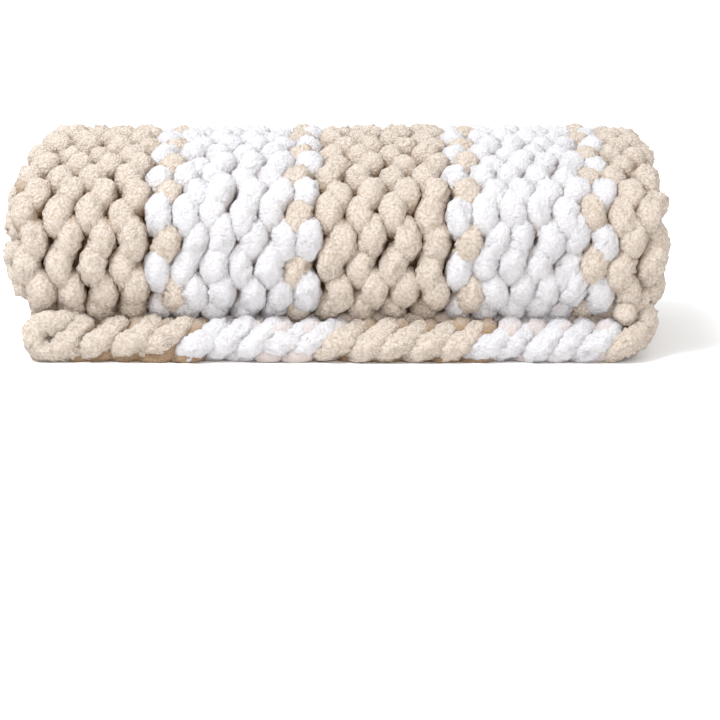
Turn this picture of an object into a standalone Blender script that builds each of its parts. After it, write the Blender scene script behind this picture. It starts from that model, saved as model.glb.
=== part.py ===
# Chunky knit blanket, folded in half, rolled up and laid down with its loose end in front.
# Metres, +Z up, +X along the roll, +Y to the back. The blanket rests on z = 0.
import math

import bmesh
import bpy

# The doubled cloth
CLOTH_THICKNESS = 0.033
END_BULGE = 0.012
FLAP_FRONT_Y = -0.1385

# The ropes of the knit, which run round the roll, one for each row of knitting
BEIGE_PITCH = 0.0306
WHITE_PITCH = 0.0265
ROWS_IN_A_STRIPE = 5
WHITE_STRIPES = (0, 2)
FIRST_WHITE_X = -0.1696
ROPES_LEFT_OF_IT = 4
ROPES = 22
ROPE_RISE = 0.0042
VALLEY_DROP = 0.0030
ZIGZAG = 0.0036
HALF_STITCH = 0.0265
FRONT_BUMP = 0.007

# The doubled cloth from its loose front edge to the core of the roll. Each run is straight or
# bends with a radius, ends at a reach to the left and right, and raises the knit by a share.
WINDING_COLUMNS = ("run", "straight", "radius", "degrees", "sections", "left", "right", "raised")
WINDING = (
    ("floor", 0.1900, 0.0000, 0, 4, 0.300, 0.300, 0.0),
    ("lower back", 0.0000, 0.0835, 80, 5, 0.312, 0.312, 1.0),
    ("upper back", 0.0000, 0.0835, 100, 7, 0.298, 0.312, 1.0),
    ("crown", 0.0000, 0.3300, 26, 6, 0.308, 0.316, 1.0),
    ("front upper bend", 0.0000, 0.0360, 64, 4, 0.314, 0.318, 1.0),
    ("front", 0.0272, 0.0000, 0, 2, 0.320, 0.320, 1.0),
    ("front lower bend", 0.0000, 0.0380, 90, 5, 0.298, 0.300, 0.4),
    ("inner floor", 0.1309, 0.0000, 0, 3, 0.296, 0.298, 0.0),
    ("inner back", 0.0000, 0.0360, 180, 8, 0.290, 0.292, 0.0),
    ("inner top", 0.1089, 0.0000, 0, 3, 0.290, 0.294, 0.0),
    ("fold at the core", 0.0000, 0.0180, 180, 7, 0.292, 0.292, 0.0),
    ("core", 0.1060, 0.0000, 0, 3, 0.286, 0.288, 0.0),
)
START_LEFT = 0.304
START_RIGHT = 0.302


def rope_edges():
    """The x of each rope's left valley, and last the right valley of the last rope."""
    edges = [FIRST_WHITE_X - WHITE_PITCH / 2 - ROPES_LEFT_OF_IT * BEIGE_PITCH]
    for rope in range(ROPES):
        stripe = (rope - ROPES_LEFT_OF_IT) // ROWS_IN_A_STRIPE
        pitch = WHITE_PITCH if stripe in WHITE_STRIPES else BEIGE_PITCH
        edges.append(edges[-1] + pitch)
    return edges


EDGES = rope_edges()


def stations():
    """Sections' places along the winding: y, z, heading, length so far, reaches and raised share."""
    y, z, heading, length = FLAP_FRONT_Y, CLOTH_THICKNESS / 2, 0.0, 0.0
    before = {"left": START_LEFT, "right": START_RIGHT, "raised": 0.0}
    places = [dict(before, y=y, z=z, heading=heading, length=length)]
    for row in WINDING:
        run = dict(zip(WINDING_COLUMNS, row))
        bend = math.radians(run["degrees"])
        centre_y = y - run["radius"] * math.sin(heading)
        centre_z = z + run["radius"] * math.cos(heading)
        for number in range(1, run["sections"] + 1):
            share = number / run["sections"]
            turned = heading + bend * share
            place = {
                key: before[key] + (run[key] - before[key]) * share
                for key in ("left", "right", "raised")
            }
            place["heading"] = turned
            if bend:
                place["y"] = centre_y + run["radius"] * math.sin(turned)
                place["z"] = centre_z - run["radius"] * math.cos(turned)
                place["length"] = length + run["radius"] * bend * share
            else:
                place["y"] = y + run["straight"] * share * math.cos(heading)
                place["z"] = z + run["straight"] * share * math.sin(heading)
                place["length"] = length + run["straight"] * share
            places.append(place)
        y, z, heading, length = (places[-1][key] for key in ("y", "z", "heading", "length"))
        before = run
    return places


def section(place, thickness_share=1.0, shift=0.0, bump=0.0):
    """One closed ring round the doubled cloth, left to right outside and back along the inside."""
    along_y, along_z = math.cos(place["heading"]), math.sin(place["heading"])
    out_y, out_z = along_z, -along_y
    middle_y = place["y"] + shift * along_y
    middle_z = place["z"] + shift * along_z
    raised = place["raised"]
    half = CLOTH_THICKNESS * thickness_share / 2
    zigzag = ZIGZAG * raised * math.cos(math.pi * place["length"] / HALF_STITCH)
    scale_left = (place["left"] - END_BULGE) / -EDGES[0]
    scale_right = (place["right"] - END_BULGE) / EDGES[-1]
    ring = []

    def put(x, out, forward=0.0):
        ring.append(
            (
                x,
                middle_y + out_y * out + along_y * forward,
                max(0.0, middle_z + out_z * out + along_z * forward),
            )
        )

    def scaled(x):
        return x * (scale_left if x < 0 else scale_right)

    outside = []
    inside = []
    for rope in range(ROPES):
        low, high = EDGES[rope], EDGES[rope + 1]
        crest = (low + high) / 2
        lean = zigzag if rope % 2 else -zigzag
        outside.append((low, -VALLEY_DROP * raised, 0.0))
        outside.append((crest + lean, ROPE_RISE * raised, -bump))
        inside.append((low, 0.0))
        inside.append((crest, -bump))
    outside.append((EDGES[-1], -VALLEY_DROP * raised, 0.0))
    inside.append((EDGES[-1], 0.0))
    for x, rise, forward in outside:
        put(scaled(x), half + rise, forward)
    for part in (0.6, 0.0, -0.6):
        put(scaled(EDGES[-1]) + END_BULGE * math.sqrt(1 - part * part), half * part)
    for x, forward in reversed(inside):
        put(scaled(x), -half, forward)
    for part in (-0.6, 0.0, 0.6):
        put(scaled(EDGES[0]) - END_BULGE * math.sqrt(1 - part * part), half * part)
    return ring


def all_sections():
    places = stations()
    rings = [
        section(places[0], 0.35, -0.010, FRONT_BUMP),
        section(places[0], 0.78, -0.005, FRONT_BUMP * 0.8),
        section(places[0], 1.00, 0.006, FRONT_BUMP * 0.3),
    ]
    rings += [section(place) for place in places[1:]]
    rings.append(section(places[-1], 0.85, 0.005))
    rings.append(section(places[-1], 0.40, 0.010))
    return rings


def make_solid(name, rings, material):
    mesh = bpy.data.meshes.new(name)
    build = bmesh.new()
    rows = [[build.verts.new(point) for point in ring] for ring in rings]
    size = len(rings[0])
    for row, following in zip(rows, rows[1:]):
        for place in range(size):
            after = (place + 1) % size
            build.faces.new((row[place], row[after], following[after], following[place]))
    outer = (size - 6) // 2
    for row in (rows[0], rows[-1]):
        for place in range(outer - 1):
            mirrored = size - 4 - place
            build.faces.new((row[place], row[place + 1], row[mirrored - 1], row[mirrored]))
        build.faces.new([row[outer - 1 + step] for step in range(5)])
        build.faces.new([row[(size - 4 + step) % size] for step in range(5)])
    bmesh.ops.triangulate(build, faces=build.faces)
    bmesh.ops.recalc_face_normals(build, faces=build.faces)
    build.to_mesh(mesh)
    build.free()
    mesh.materials.append(material)
    return bpy.data.objects.new(name, mesh)


def yarn_material(name, colour, roughness):
    material = bpy.data.materials.new(name)
    material.use_nodes = True
    shader = material.node_tree.nodes["Principled BSDF"]
    shader.inputs["Base Color"].default_value = (*colour, 1.0)
    shader.inputs["Roughness"].default_value = roughness
    return material


for existing in list(bpy.data.objects):
    bpy.data.objects.remove(existing, do_unlink=True)

collection = bpy.data.collections.new("knit_blanket_rolled")
bpy.context.scene.collection.children.link(collection)
beige = yarn_material("beige_yarn", (0.80, 0.72, 0.62), 0.95)
collection.objects.link(make_solid("knit_blanket", all_sections(), beige))
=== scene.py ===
import math

import bpy
import numpy as np
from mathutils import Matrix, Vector


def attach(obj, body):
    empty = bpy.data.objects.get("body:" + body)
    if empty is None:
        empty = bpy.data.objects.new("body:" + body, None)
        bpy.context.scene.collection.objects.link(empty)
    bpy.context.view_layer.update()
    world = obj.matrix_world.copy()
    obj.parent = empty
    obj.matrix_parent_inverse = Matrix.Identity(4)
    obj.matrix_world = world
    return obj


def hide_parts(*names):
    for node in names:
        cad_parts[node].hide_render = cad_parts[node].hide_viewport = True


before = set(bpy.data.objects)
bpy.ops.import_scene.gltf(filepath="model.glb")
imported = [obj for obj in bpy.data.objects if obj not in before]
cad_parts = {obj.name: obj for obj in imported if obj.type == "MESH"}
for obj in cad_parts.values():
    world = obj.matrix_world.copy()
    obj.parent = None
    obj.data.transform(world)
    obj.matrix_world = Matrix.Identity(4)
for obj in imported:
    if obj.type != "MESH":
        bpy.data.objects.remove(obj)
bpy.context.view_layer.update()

# Doubled cloth and yarn, in metres
CLOTH_THICKNESS = 0.033
FLAP_FRONT_Y = -0.1385
YARN_RADIUS = {"beige": 0.0128, "white": 0.0130}
EDGE_RADIUS = 0.0118
STITCH = 0.051
LOOP_DEPTH = {"beige": 0.0122, "white": 0.0100}
OUTER_RISE = 0.0050
ROPE_SPLIT = {"beige": 0.0115, "white": 0.0095}
LOOP_SWING = 0.0070
SLANT = 0.0013
TUBE_SIDES = 24
TUBE_STEP = 0.0030
# The raised side of the cloth, and how far below it the yarn is in full shade
CREST = CLOTH_THICKNESS / 2 + OUTER_RISE
SHADE_DEPTH = 0.024

# The winding of the doubled cloth, seen from its end: straight length, bend radius, degrees
WINDING = (
    (0.1900, 0.0000, 0),
    (0.0000, 0.0835, 180),
    (0.0000, 0.3300, 26),
    (0.0000, 0.0360, 64),
    (0.0432, 0.0000, 0),
    (0.0000, 0.0260, 90),
    (0.1429, 0.0000, 0),
    (0.0000, 0.0360, 180),
    (0.1089, 0.0000, 0),
    (0.0000, 0.0180, 180),
    (0.1060, 0.0000, 0),
)

# Stripes of the knit from left to right: name, yarn, first row, last row
STRIPES = (
    ("stripe_1_beige", "beige", -4, 0),
    ("stripe_2_white", "white", 1, 5),
    ("stripe_3_beige", "beige", 6, 10),
    ("stripe_4_white", "white", 11, 15),
    ("stripe_5_beige", "beige", 16, 18),
)
# Rope 1 stands at x = ROPE_1_X. Ropes up to the first number are the second number apart.
ROPE_1_X = -0.1696
PITCHES = ((1, 0.0318), (6, 0.0270), (11, 0.0306), (16, 0.0260), (99, 0.0268))

rng = np.random.default_rng(41)


def rope_x(number):
    x = ROPE_1_X
    if number < 1:
        return x - (1 - number) * PITCHES[0][1]
    for rope in range(1, number):
        x += next(pitch for last, pitch in PITCHES if rope < last)
    return x


def winding_table():
    """s, y, z and heading at close steps along the middle of the doubled cloth."""
    s, y, z, heading = 0.0, FLAP_FRONT_Y, CLOTH_THICKNESS / 2, 0.0
    rows = [(-0.05, y - 0.05, z, 0.0, 0.0), (s, y, z, heading, 0.0)]
    for straight, radius, degrees in WINDING:
        bend = math.radians(degrees)
        length = radius * bend if bend else straight
        steps = max(2, int(length / 0.002))
        centre = (y - radius * math.sin(heading), z + radius * math.cos(heading))
        start = (y, z, heading, s)
        for step in range(1, steps + 1):
            share = step / steps
            s = start[3] + length * share
            if bend:
                heading = start[2] + bend * share
                y = centre[0] + radius * math.sin(heading)
                z = centre[1] - radius * math.cos(heading)
            else:
                y = start[0] + length * share * math.cos(heading)
                z = start[1] + length * share * math.sin(heading)
            rows.append((s, y, z, heading, 1 / radius if bend else 0.0))
    return np.array(rows)


TABLE = winding_table()
S_END = TABLE[-1, 0]
# Length measured along the raised side of the outer cloth, where the stitches keep their pitch
U_TABLE = np.concatenate([[TABLE[0, 0]], TABLE[0, 0] + np.cumsum(np.diff(TABLE[:, 0]) * (1 + 0.008 * TABLE[1:, 4]))])
U_TABLE -= np.interp(0.0, TABLE[:, 0], U_TABLE)


def on_winding(s, n):
    """y and z of points n outside the middle of the doubled cloth, s along it."""
    y = np.interp(s, TABLE[:, 0], TABLE[:, 1])
    z = np.interp(s, TABLE[:, 0], TABLE[:, 2])
    h = np.interp(s, TABLE[:, 0], TABLE[:, 3])
    return y + n * np.sin(h), z - n * np.cos(h)


# Where the cloth turns round the two ends of the roll, along the winding
REACH_S = (-0.05, 0.19, 0.26, 0.45, 0.57, 0.62, 0.66, 0.70, 0.72, 0.75, 1.00, 2.00)
REACH_LEFT = (0.271, 0.272, 0.287, 0.280, 0.299, 0.301, 0.300, 0.294, 0.272, 0.262, 0.270, 0.266)
REACH_RIGHT = (0.271, 0.272, 0.285, 0.283, 0.287, 0.288, 0.290, 0.283, 0.272, 0.264, 0.270, 0.266)
FULL_REACH = 0.306


def place_x(x, s):
    """Draws the outermost ropes in where the roll's ends are rounded off."""
    left = np.interp(s, REACH_S, REACH_LEFT) / max(REACH_LEFT)
    right = np.interp(s, REACH_S, REACH_RIGHT) / max(REACH_RIGHT)
    share = np.minimum(1.0, (np.abs(x) / 0.29) ** 3)
    return x * (1 + (np.where(x < 0, left, right) - 1) * share)


END_FOLD = 0.010


def fold_ends(x, n, s):
    """Wraps the cloth round the two ends of the roll."""
    left = -np.interp(s, REACH_S, REACH_LEFT)
    right = np.interp(s, REACH_S, REACH_RIGHT)
    over = np.where(x > right, x - right, np.where(x < left, left - x, 0.0))
    angle = np.minimum(over / (END_FOLD + 0.004), math.pi)
    base = np.where(x > right, right, np.where(x < left, left, x))
    sign = np.where(x > right, 1.0, -1.0)
    folded_x = base + sign * (END_FOLD + n) * np.sin(angle)
    folded_n = -END_FOLD + (END_FOLD + n) * np.cos(angle)
    inside = over <= 0
    return np.where(inside, x, folded_x), np.where(inside, n, folded_n), sign * np.sin(angle), np.cos(angle)


def wander(count, size, places):
    """Smooth random values for places in stitches."""
    knots = rng.normal(0.0, size, count + 4)
    return np.interp(places, np.arange(count + 4) - 2, knots)


def plump(wave, fullness):
    """A wave whose crests are broader than its troughs."""
    return np.where(wave > 0, wave * (1 + fullness) / (1 + fullness * np.abs(wave)), wave)


def resample(points, step):
    """Points at even steps along a line. Columns after the first three go with them."""
    lengths = np.concatenate([[0], np.cumsum(np.linalg.norm(np.diff(points[:, :3], axis=0), axis=1))])
    count = max(4, int(lengths[-1] / step))
    at = np.linspace(0, lengths[-1], count)
    return np.stack([np.interp(at, lengths, column) for column in points.T], 1)


class Yarn:
    """Collects tubes of yarn into one mesh."""

    def __init__(self):
        self.points = []
        self.depths = []
        self.faces = []
        self.count = 0

    def add(self, line, radius, facing=None, rise=None, sides=TUBE_SIDES, step=TUBE_STEP, nub=0.0010):
        line = np.asarray(line, float)
        radius = np.broadcast_to(np.asarray(radius, float), (len(line),))
        if facing is None:
            facing, rise = np.zeros_like(line), np.full(len(line), CREST)
        even = resample(np.column_stack([line, radius, facing, rise]), step)
        line, radius, facing, rise = even[:, :3], even[:, 3], even[:, 4:7], even[:, 7]
        tangent = np.gradient(line, axis=0)
        tangent /= np.linalg.norm(tangent, axis=1)[:, None]
        normals = np.empty_like(line)
        normal = np.cross(tangent[0], (0.31, 0.17, 0.93))
        normal /= np.linalg.norm(normal)
        for index in range(len(line)):
            normal = normal - tangent[index] * np.dot(normal, tangent[index])
            normal /= np.linalg.norm(normal)
            normals[index] = normal
        side = np.cross(tangent, normals)
        angles = np.linspace(0, 2 * math.pi, sides, endpoint=False)
        twist = np.linspace(0, 0.5 * math.pi / sides * len(line), len(line))[:, None]
        turn = angles[None, :] + twist * 0.0
        size = radius[:, None] * (1 + rng.normal(0, 0.012, (len(line), 1)))
        ends = np.minimum(1, np.sqrt(np.clip((np.arange(len(line)) + 0.4) / 3.0, 0, 1)))
        size = size * (ends * ends[::-1])[:, None] + rng.normal(0, nub, (len(line), sides))
        ring = (
            line[:, None, :]
            + normals[:, None, :] * (np.cos(turn) * size)[:, :, None]
            + side[:, None, :] * (np.sin(turn) * size)[:, :, None]
        )
        # How far each point of the tube lies below the raised side of the cloth; the materials paint shade from it.
        above = rise[:, None] + ((ring - line[:, None, :]) * facing[:, None, :]).sum(2)
        depth = np.clip((CREST - above) / SHADE_DEPTH, 0.0, 1.0)
        ring[:, :, 2] = np.maximum(ring[:, :, 2], 0.0)
        rows = len(line)
        self.points.append(ring.reshape(-1, 3))
        self.depths.append(depth.reshape(-1))
        index = np.arange(rows * sides).reshape(rows, sides) + self.count
        after = np.roll(index, -1, axis=1)
        quads = np.stack([index[:-1], after[:-1], after[1:], index[1:]], -1).reshape(-1, 4)
        self.faces.append(quads)
        self.count += rows * sides
        for row, flip in ((0, True), (rows - 1, False)):
            middle = line[row]
            self.points.append(np.array([[middle[0], middle[1], max(0.0, middle[2])]]))
            self.depths.append(depth[row].mean()[None])
            ring_index = index[row]
            following = np.roll(ring_index, -1)
            tip = np.full(sides, self.count)
            fan = np.stack([following, ring_index, tip, tip], -1) if flip else np.stack([ring_index, following, tip, tip], -1)
            self.faces.append(fan)
            self.count += 1

    def build(self, name, material):
        points = np.concatenate(self.points)
        faces = np.concatenate(self.faces)
        triangles = faces[:, 2] == faces[:, 3]
        loops = np.concatenate([faces[~triangles].reshape(-1), faces[triangles][:, :3].reshape(-1)])
        sizes = np.concatenate([np.full((~triangles).sum(), 4), np.full(triangles.sum(), 3)])
        mesh = bpy.data.meshes.new(name)
        mesh.vertices.add(len(points))
        mesh.vertices.foreach_set("co", points.reshape(-1))
        mesh.loops.add(len(loops))
        mesh.loops.foreach_set("vertex_index", loops.astype(np.int32))
        mesh.polygons.add(len(sizes))
        mesh.polygons.foreach_set("loop_start", np.concatenate([[0], np.cumsum(sizes)[:-1]]).astype(np.int32))
        mesh.polygons.foreach_set("loop_total", sizes.astype(np.int32))
        mesh.polygons.foreach_set("use_smooth", np.ones(len(sizes), bool))
        mesh.update(calc_edges=True)
        depth = mesh.attributes.new("depth", "FLOAT", "POINT")
        depth.data.foreach_set("value", np.concatenate(self.depths).astype(np.float32))
        mesh.validate()
        mesh.materials.append(material)
        thing = bpy.data.objects.new(name, mesh)
        bpy.context.scene.collection.objects.link(thing)
        return thing


STITCH_PHASE = float(np.interp(0.6939, TABLE[:, 0], U_TABLE)) - STITCH / 2


def edge_shift(x):
    """How far to the right the loose end lies of the roll above it."""
    return np.interp(x, (-0.2, 0.0, 0.15), (0.036, 0.036, 0.022))


def row_line(row, yarn, u_start, u_stop, side=1.0, middle=None, depth=None, thin=1.0, shift=False):
    """The yarn of one row of knitting: loops that swing from its own rope to the next one."""
    stitches = (u_stop - u_start) / STITCH
    count = int(stitches * 60)
    u = np.linspace(u_start, u_stop, count)
    t = 2 * math.pi * (u - STITCH_PHASE) / STITCH
    places = (u - u_start) / STITCH * 2
    number = int(places[-1]) + 2
    radius = YARN_RADIUS[yarn] * thin
    depth = depth or LOOP_DEPTH[yarn]
    left, right = rope_x(row), rope_x(row + 1)
    swing = (right - left) / 2 + ROPE_SPLIT[yarn] / 2
    u_loop = u + LOOP_SWING * np.sin(2 * t) + wander(number, 0.0024, places) + rng.normal(0, 0.0018)
    sway = np.cos(t) * 1.35 / (1 + 0.35 * np.abs(np.cos(t)))
    x = (left + right) / 2 - swing * sway * (1 + wander(number, 0.045, places))
    x = x - (SLANT + wander(number, 0.0012, places)) * np.sin(2 * t) + wander(number, 0.0014, places)
    n_middle = CLOTH_THICKNESS / 2 + OUTER_RISE - radius - depth if middle is None else middle
    n = n_middle + depth * plump(np.cos(2 * t), 1.0) + wander(number, 0.0012, places)
    s = np.interp(u_loop, U_TABLE, TABLE[:, 0])
    if side > 0:
        n = n - np.interp(s, (0.42, 0.52, 0.60, 0.66), (0.0, 0.0026, 0.0020, 0.0))
    if shift:
        x = x + edge_shift(x) * 0.8
    x = place_x(x, s)
    # Rows on the upper side of the loose end count as lying lower, so they are painted in darker shade.
    rise = n - (0.012 if side < 0 else 0.0)
    x, n, facing_x, facing_n = fold_ends(x, n, s)
    # Where the cloth turns round the roll's ends, the painted shade is eased off.
    rise = rise + (CREST + radius / 2 - rise) * np.clip(1 - facing_n, 0.0, 1.0)
    y, z = on_winding(s, n * side)
    heading = np.interp(s, TABLE[:, 0], TABLE[:, 3])
    facing = np.stack([facing_x, facing_n * side * np.sin(heading), -facing_n * side * np.cos(heading)], 1)
    fat = radius * (1 + 0.05 * np.cos(2 * t) + wander(number, 0.03, places))
    return np.stack([x, y, z], 1), fat, facing, rise


def shade(tree, kind, **values):
    node = tree.nodes.new(kind)
    for key, value in values.items():
        if key in node.inputs:
            node.inputs[key].default_value = value
        else:
            setattr(node, key, value)
    return node


def plush(name, lit, nub_shade, crevice_shade, nub_scale, relief):
    """Soft plush yarn: short pile, a little darker between its nubs as painted shade, with painted brown shade on
    yarn below the raised side of the cloth.
    """
    material = bpy.data.materials.new(name)
    material.use_nodes = True
    tree = material.node_tree
    shader = tree.nodes["Principled BSDF"]
    place = shade(tree, "ShaderNodeTexCoord")
    nubs = shade(tree, "ShaderNodeTexVoronoi", Scale=nub_scale, Randomness=1.0)
    pile = shade(tree, "ShaderNodeTexNoise", Scale=1100.0, Detail=3.0, Roughness=0.65)
    tree.links.new(place.outputs["Object"], nubs.inputs["Vector"])
    tree.links.new(place.outputs["Object"], pile.inputs["Vector"])
    height = shade(tree, "ShaderNodeMath", operation="SUBTRACT")
    scaled = shade(tree, "ShaderNodeMath", operation="MULTIPLY_ADD")
    scaled.inputs[1].default_value = 0.9
    scaled.inputs[2].default_value = 0.42
    tree.links.new(pile.outputs["Fac"], scaled.inputs[0])
    tree.links.new(scaled.outputs["Value"], height.inputs[0])
    tree.links.new(nubs.outputs["Distance"], height.inputs[1])
    # Painted shade: the ramp darkens the colour in the hollows between the nubs, from the lit colour to the nub
    # shade colour.
    ramp = shade(tree, "ShaderNodeValToRGB")
    ramp.color_ramp.elements[0].position = 0.05
    ramp.color_ramp.elements[0].color = (*nub_shade, 1)
    ramp.color_ramp.elements[1].position = 0.48
    ramp.color_ramp.elements[1].color = (*lit, 1)
    tree.links.new(height.outputs["Value"], ramp.inputs["Fac"])
    # Painted shade: yarn below the raised side of the cloth, read from the depth attribute, is mixed towards the
    # warm brown crevice shade colour.
    below = shade(tree, "ShaderNodeAttribute", attribute_name="depth")
    share = shade(tree, "ShaderNodeMapRange", interpolation_type="SMOOTHSTEP",
                  **{"From Min": 0.16, "From Max": 0.90, "To Min": 0.0, "To Max": 0.95})
    shaded = shade(tree, "ShaderNodeMixRGB", Color2=(*crevice_shade, 1))
    tree.links.new(below.outputs["Fac"], share.inputs["Value"])
    tree.links.new(share.outputs["Result"], shaded.inputs["Fac"])
    tree.links.new(ramp.outputs["Color"], shaded.inputs["Color1"])
    tree.links.new(shaded.outputs["Color"], shader.inputs["Base Color"])
    bump = shade(tree, "ShaderNodeBump", Strength=1.0, Distance=relief)
    tree.links.new(height.outputs["Value"], bump.inputs["Height"])
    tree.links.new(bump.outputs["Normal"], shader.inputs["Normal"])
    shader.inputs["Roughness"].default_value = 0.95
    shader.inputs["Specular IOR Level"].default_value = 0.12
    shader.inputs["Sheen Weight"].default_value = 0.35
    shader.inputs["Sheen Roughness"].default_value = 0.6
    shader.inputs["Sheen Tint"].default_value = (*lit, 1)
    return material


# Each yarn: lit colour, painted shade in the hollows between nubs, painted brown shade for yarn below the raised
# side, nub scale, bump relief.
materials = {
    "beige": plush("beige_plush_yarn", (0.89, 0.79, 0.695), (0.70, 0.57, 0.45), (0.40, 0.24, 0.12), 330.0, 0.0050),
    "white": plush("white_plush_yarn", (0.685, 0.68, 0.705), (0.64, 0.625, 0.64), (0.60, 0.52, 0.49), 300.0, 0.0024),
}


def finish_piece(thing):
    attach(thing, "root")


U_FLAP_END = 0.115
S_OUTER_END = 0.749
u_outer_end = float(np.interp(S_OUTER_END, TABLE[:, 0], U_TABLE))

# The rows of the outer turn, and of the upper side of the loose end
for name, yarn, first, last in STRIPES:
    knit = Yarn()
    rows = list(range(first, last + 1))
    for row in rows:
        knit.add(*row_line(row, yarn, 0.014, 0.180)[:2], sides=12, step=0.0060)
        knit.add(*row_line(row, yarn, 0.172, u_outer_end))
        if row < 16:
            knit.add(*row_line(row, yarn, 0.004, U_FLAP_END, side=-1.0, shift=True), sides=16, step=0.0040)
    finish_piece(knit.build(name, materials[yarn]))

# The stitches along the front edge of the loose end, one for each row
def edge_stitch(row, low):
    x = rope_x(row)
    x += edge_shift(x) + rng.normal(0, 0.0015)
    turn = np.linspace(-1, 1, 24)
    tilt = 1 + rng.normal(0, 0.12)
    if low:
        middle_x, middle_z, run, rise, front = x - 0.014, 0.0112, 0.020, 0.002, FLAP_FRONT_Y + 0.008
    else:
        middle_z = np.interp(x, (-0.16, 0.02), (0.0216, 0.0174))
        middle_x, run, rise, front = x, 0.0210 / tilt, 0.0110 * tilt, FLAP_FRONT_Y - 0.002
    px = middle_x + run * turn
    pz = middle_z + rise * turn + rng.normal(0, 0.0010)
    py = front + 0.022 * np.abs(turn) ** 2.6 + 0.0055 * turn + rng.normal(0, 0.0010)
    return np.stack([px, py, pz], 1)


edges = {"beige": Yarn(), "white": Yarn()}
for name, yarn, first, last in STRIPES:
    for row in range(max(first, -3), min(last, 16) + 1):
        for low in (False, True):
            edges[yarn].add(edge_stitch(row, low), EDGE_RADIUS * (1 + rng.normal(0, 0.04)))

# The end loop at the left corner
angle = np.linspace(math.radians(90), math.radians(270), 30)
bend_x = -0.278 + 0.0125 * np.cos(angle)
bend_z = 0.0240 + 0.0125 * np.sin(angle)
bend_y = np.full_like(angle, FLAP_FRONT_Y + 0.001)
corner = np.stack([
    np.concatenate([[-0.248, -0.258, -0.267], bend_x, [-0.264, -0.250, -0.236]]),
    np.concatenate([[FLAP_FRONT_Y + 0.036, FLAP_FRONT_Y + 0.018, FLAP_FRONT_Y + 0.006], bend_y,
                    [FLAP_FRONT_Y + 0.002, FLAP_FRONT_Y + 0.008, FLAP_FRONT_Y + 0.020]]),
    np.concatenate([[0.033, 0.035, 0.0363], bend_z, [0.0118, 0.0118, 0.0118]]),
], 1)
edges["beige"].add(corner, 0.0122)

# The last stitches at the right corner, turned up against the side of the roll
rise = np.linspace(0, 1, 20)
for x, front, low, high in ((0.2835, 0.006, 0.012, 0.030), (0.2930, 0.020, 0.016, 0.046), (0.2860, 0.040, 0.014, 0.036)):
    bump = np.stack([
        x + 0.006 * np.sin(math.pi * rise) - 0.010 * (1 - rise),
        FLAP_FRONT_Y + front + 0.016 * np.abs(2 * rise - 1) ** 2,
        low + (high - low) * rise,
    ], 1)
    edges["beige"].add(bump, EDGE_RADIUS)
for yarn, knit in edges.items():
    finish_piece(knit.build("front_edge_" + yarn, materials[yarn]))

# The inner turns near the two ends
inner_start = float(np.interp(S_OUTER_END, TABLE[:, 0], U_TABLE))
inner_stop = float(np.interp(S_END - 0.004, TABLE[:, 0], U_TABLE))
inner = Yarn()
for row in (-4, -3, 17, 18):
    inner.add(*row_line(row, "beige", inner_start, inner_stop, middle=0.0, depth=0.0045, thin=0.86), sides=16, step=0.0040)
finish_piece(inner.build("inner_turns", materials["beige"]))


def backing():
    """The inner side of the doubled cloth, seen only through the holes of the knit."""
    s = np.arange(0.045, S_END - 0.01, 0.006)
    outer = s < 0.752
    top = np.where(outer, -0.0060, 0.011)
    low = np.where(outer, -0.0125, -0.011)
    columns = 45
    rows = []
    for top_side in (True, False):
        n = top if top_side else low
        for column in range(columns):
            x = place_x(np.full_like(s, -FULL_REACH + 2 * FULL_REACH * column / (columns - 1)), s) * 0.96
            y, z = on_winding(s, n)
            rows.append(np.stack([x, y, z], 1))
    grid = np.stack(rows)
    ring = np.concatenate([grid[:columns], grid[columns:][::-1]])
    size = len(ring)
    points = ring.transpose(1, 0, 2).reshape(-1, 3)
    index = np.arange(len(s) * size).reshape(len(s), size)
    after = np.roll(index, -1, axis=1)
    quads = np.stack([index[:-1], after[:-1], after[1:], index[1:]], -1).reshape(-1, 4)
    caps = []
    for row in (index[0], index[-1]):
        for column in range(columns - 1):
            mirrored = size - 1 - column
            caps.append((row[column], row[column + 1], row[mirrored - 1], row[mirrored]))
    faces = [tuple(int(v) for v in quad) for quad in np.concatenate([quads, np.array(caps)])]
    mesh = bpy.data.meshes.new("inner_cloth")
    mesh.from_pydata([tuple(map(float, p)) for p in points], [], faces)
    mesh.materials.append(materials["beige"])
    mesh.materials.append(materials["white"])
    for face in mesh.polygons:
        face.use_smooth = True
        x = face.center.x
        white = rope_x(1) < x < rope_x(6) or rope_x(11) < x < rope_x(16)
        face.material_index = 1 if white else 0
    # The whole backing is painted in near-full shade through its depth attribute.
    depth = mesh.attributes.new("depth", "FLOAT", "POINT")
    depth.data.foreach_set("value", np.full(len(mesh.vertices), 0.9, np.float32))
    mesh.validate()
    thing = bpy.data.objects.new("inner_cloth", mesh)
    bpy.context.scene.collection.objects.link(thing)
    return thing


finish_piece(backing())
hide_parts("knit_blanket")

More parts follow.
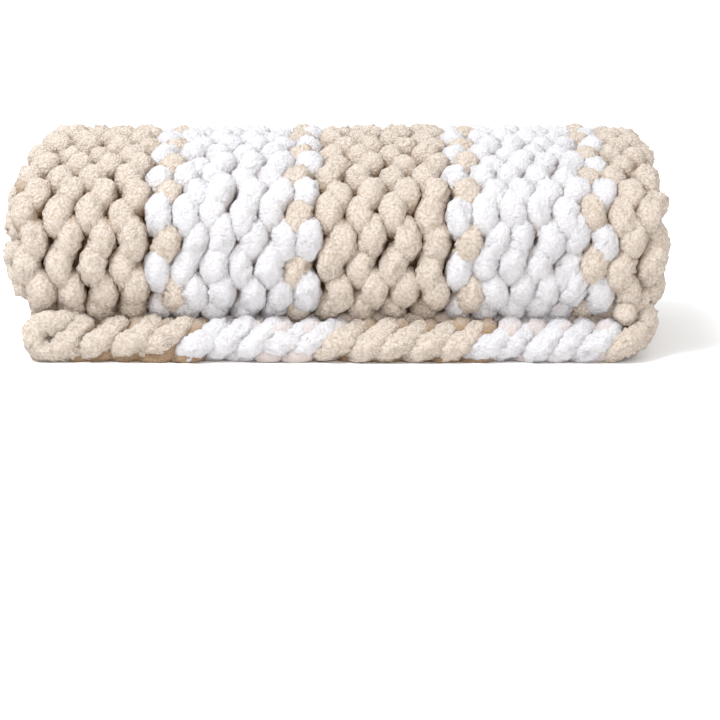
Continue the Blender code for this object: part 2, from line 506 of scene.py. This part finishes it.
# Floor, light and camera
floor_mesh = bpy.data.meshes.new("floor")
floor_mesh.from_pydata([(-6, -6, 0), (6, -6, 0), (6, 6, 0), (-6, 6, 0)], [], [(0, 1, 2, 3)])
floor = bpy.data.objects.new("floor", floor_mesh)
bpy.context.scene.collection.objects.link(floor)
floor_material = bpy.data.materials.new("floor")
floor_material.use_nodes = True
floor_shader = floor_material.node_tree.nodes["Principled BSDF"]
floor_shader.inputs["Base Color"].default_value = (0.91, 0.91, 0.91, 1)
floor_shader.inputs["Roughness"].default_value = 0.9
floor_mesh.materials.append(floor_material)

world = bpy.data.worlds.new("studio")
bpy.context.scene.world = world
world.use_nodes = True
world.node_tree.nodes["Background"].inputs["Color"].default_value = (0.985, 0.992, 1.0, 1)
world.node_tree.nodes["Background"].inputs["Strength"].default_value = 1.10


def area_light(name, location, target, size, power, colour):
    light = bpy.data.lights.new(name, "AREA")
    light.size = size
    light.energy = power
    light.color = colour
    lamp = bpy.data.objects.new(name, light)
    lamp.location = location
    lamp.rotation_euler = (Vector(target) - Vector(location)).to_track_quat("-Z", "Y").to_euler()
    bpy.context.scene.collection.objects.link(lamp)


area_light("key", (-0.95, -0.75, 2.1), (0, 0, 0.08), 1.0, 65.0, (0.955, 0.98, 1.0))
area_light("fill", (1.5, -1.9, 1.0), (0, 0, 0.08), 1.4, 8.0, (1.0, 0.985, 0.97))
area_light("low_fill", (0.1, -2.1, 0.30), (0, 0, 0.06), 1.4, 9.0, (1.0, 0.76, 0.57))

ELEVATION = math.radians(12)
DISTANCE = 2.2
camera_data = bpy.data.cameras.new("camera")
camera_data.sensor_width = 36.0
camera_data.lens = 36.0 * 2316 / 720
camera = bpy.data.objects.new("camera", camera_data)
aim = Vector((0.0195, -0.1555, 0.0050))
away = Vector((0.0, -math.cos(ELEVATION), math.sin(ELEVATION)))
camera.location = aim + away * DISTANCE
camera.rotation_euler = (-away).to_track_quat("-Z", "Y").to_euler()
bpy.context.scene.collection.objects.link(camera)
bpy.context.scene.camera = camera
bpy.context.scene.view_settings.view_transform = "Standard"
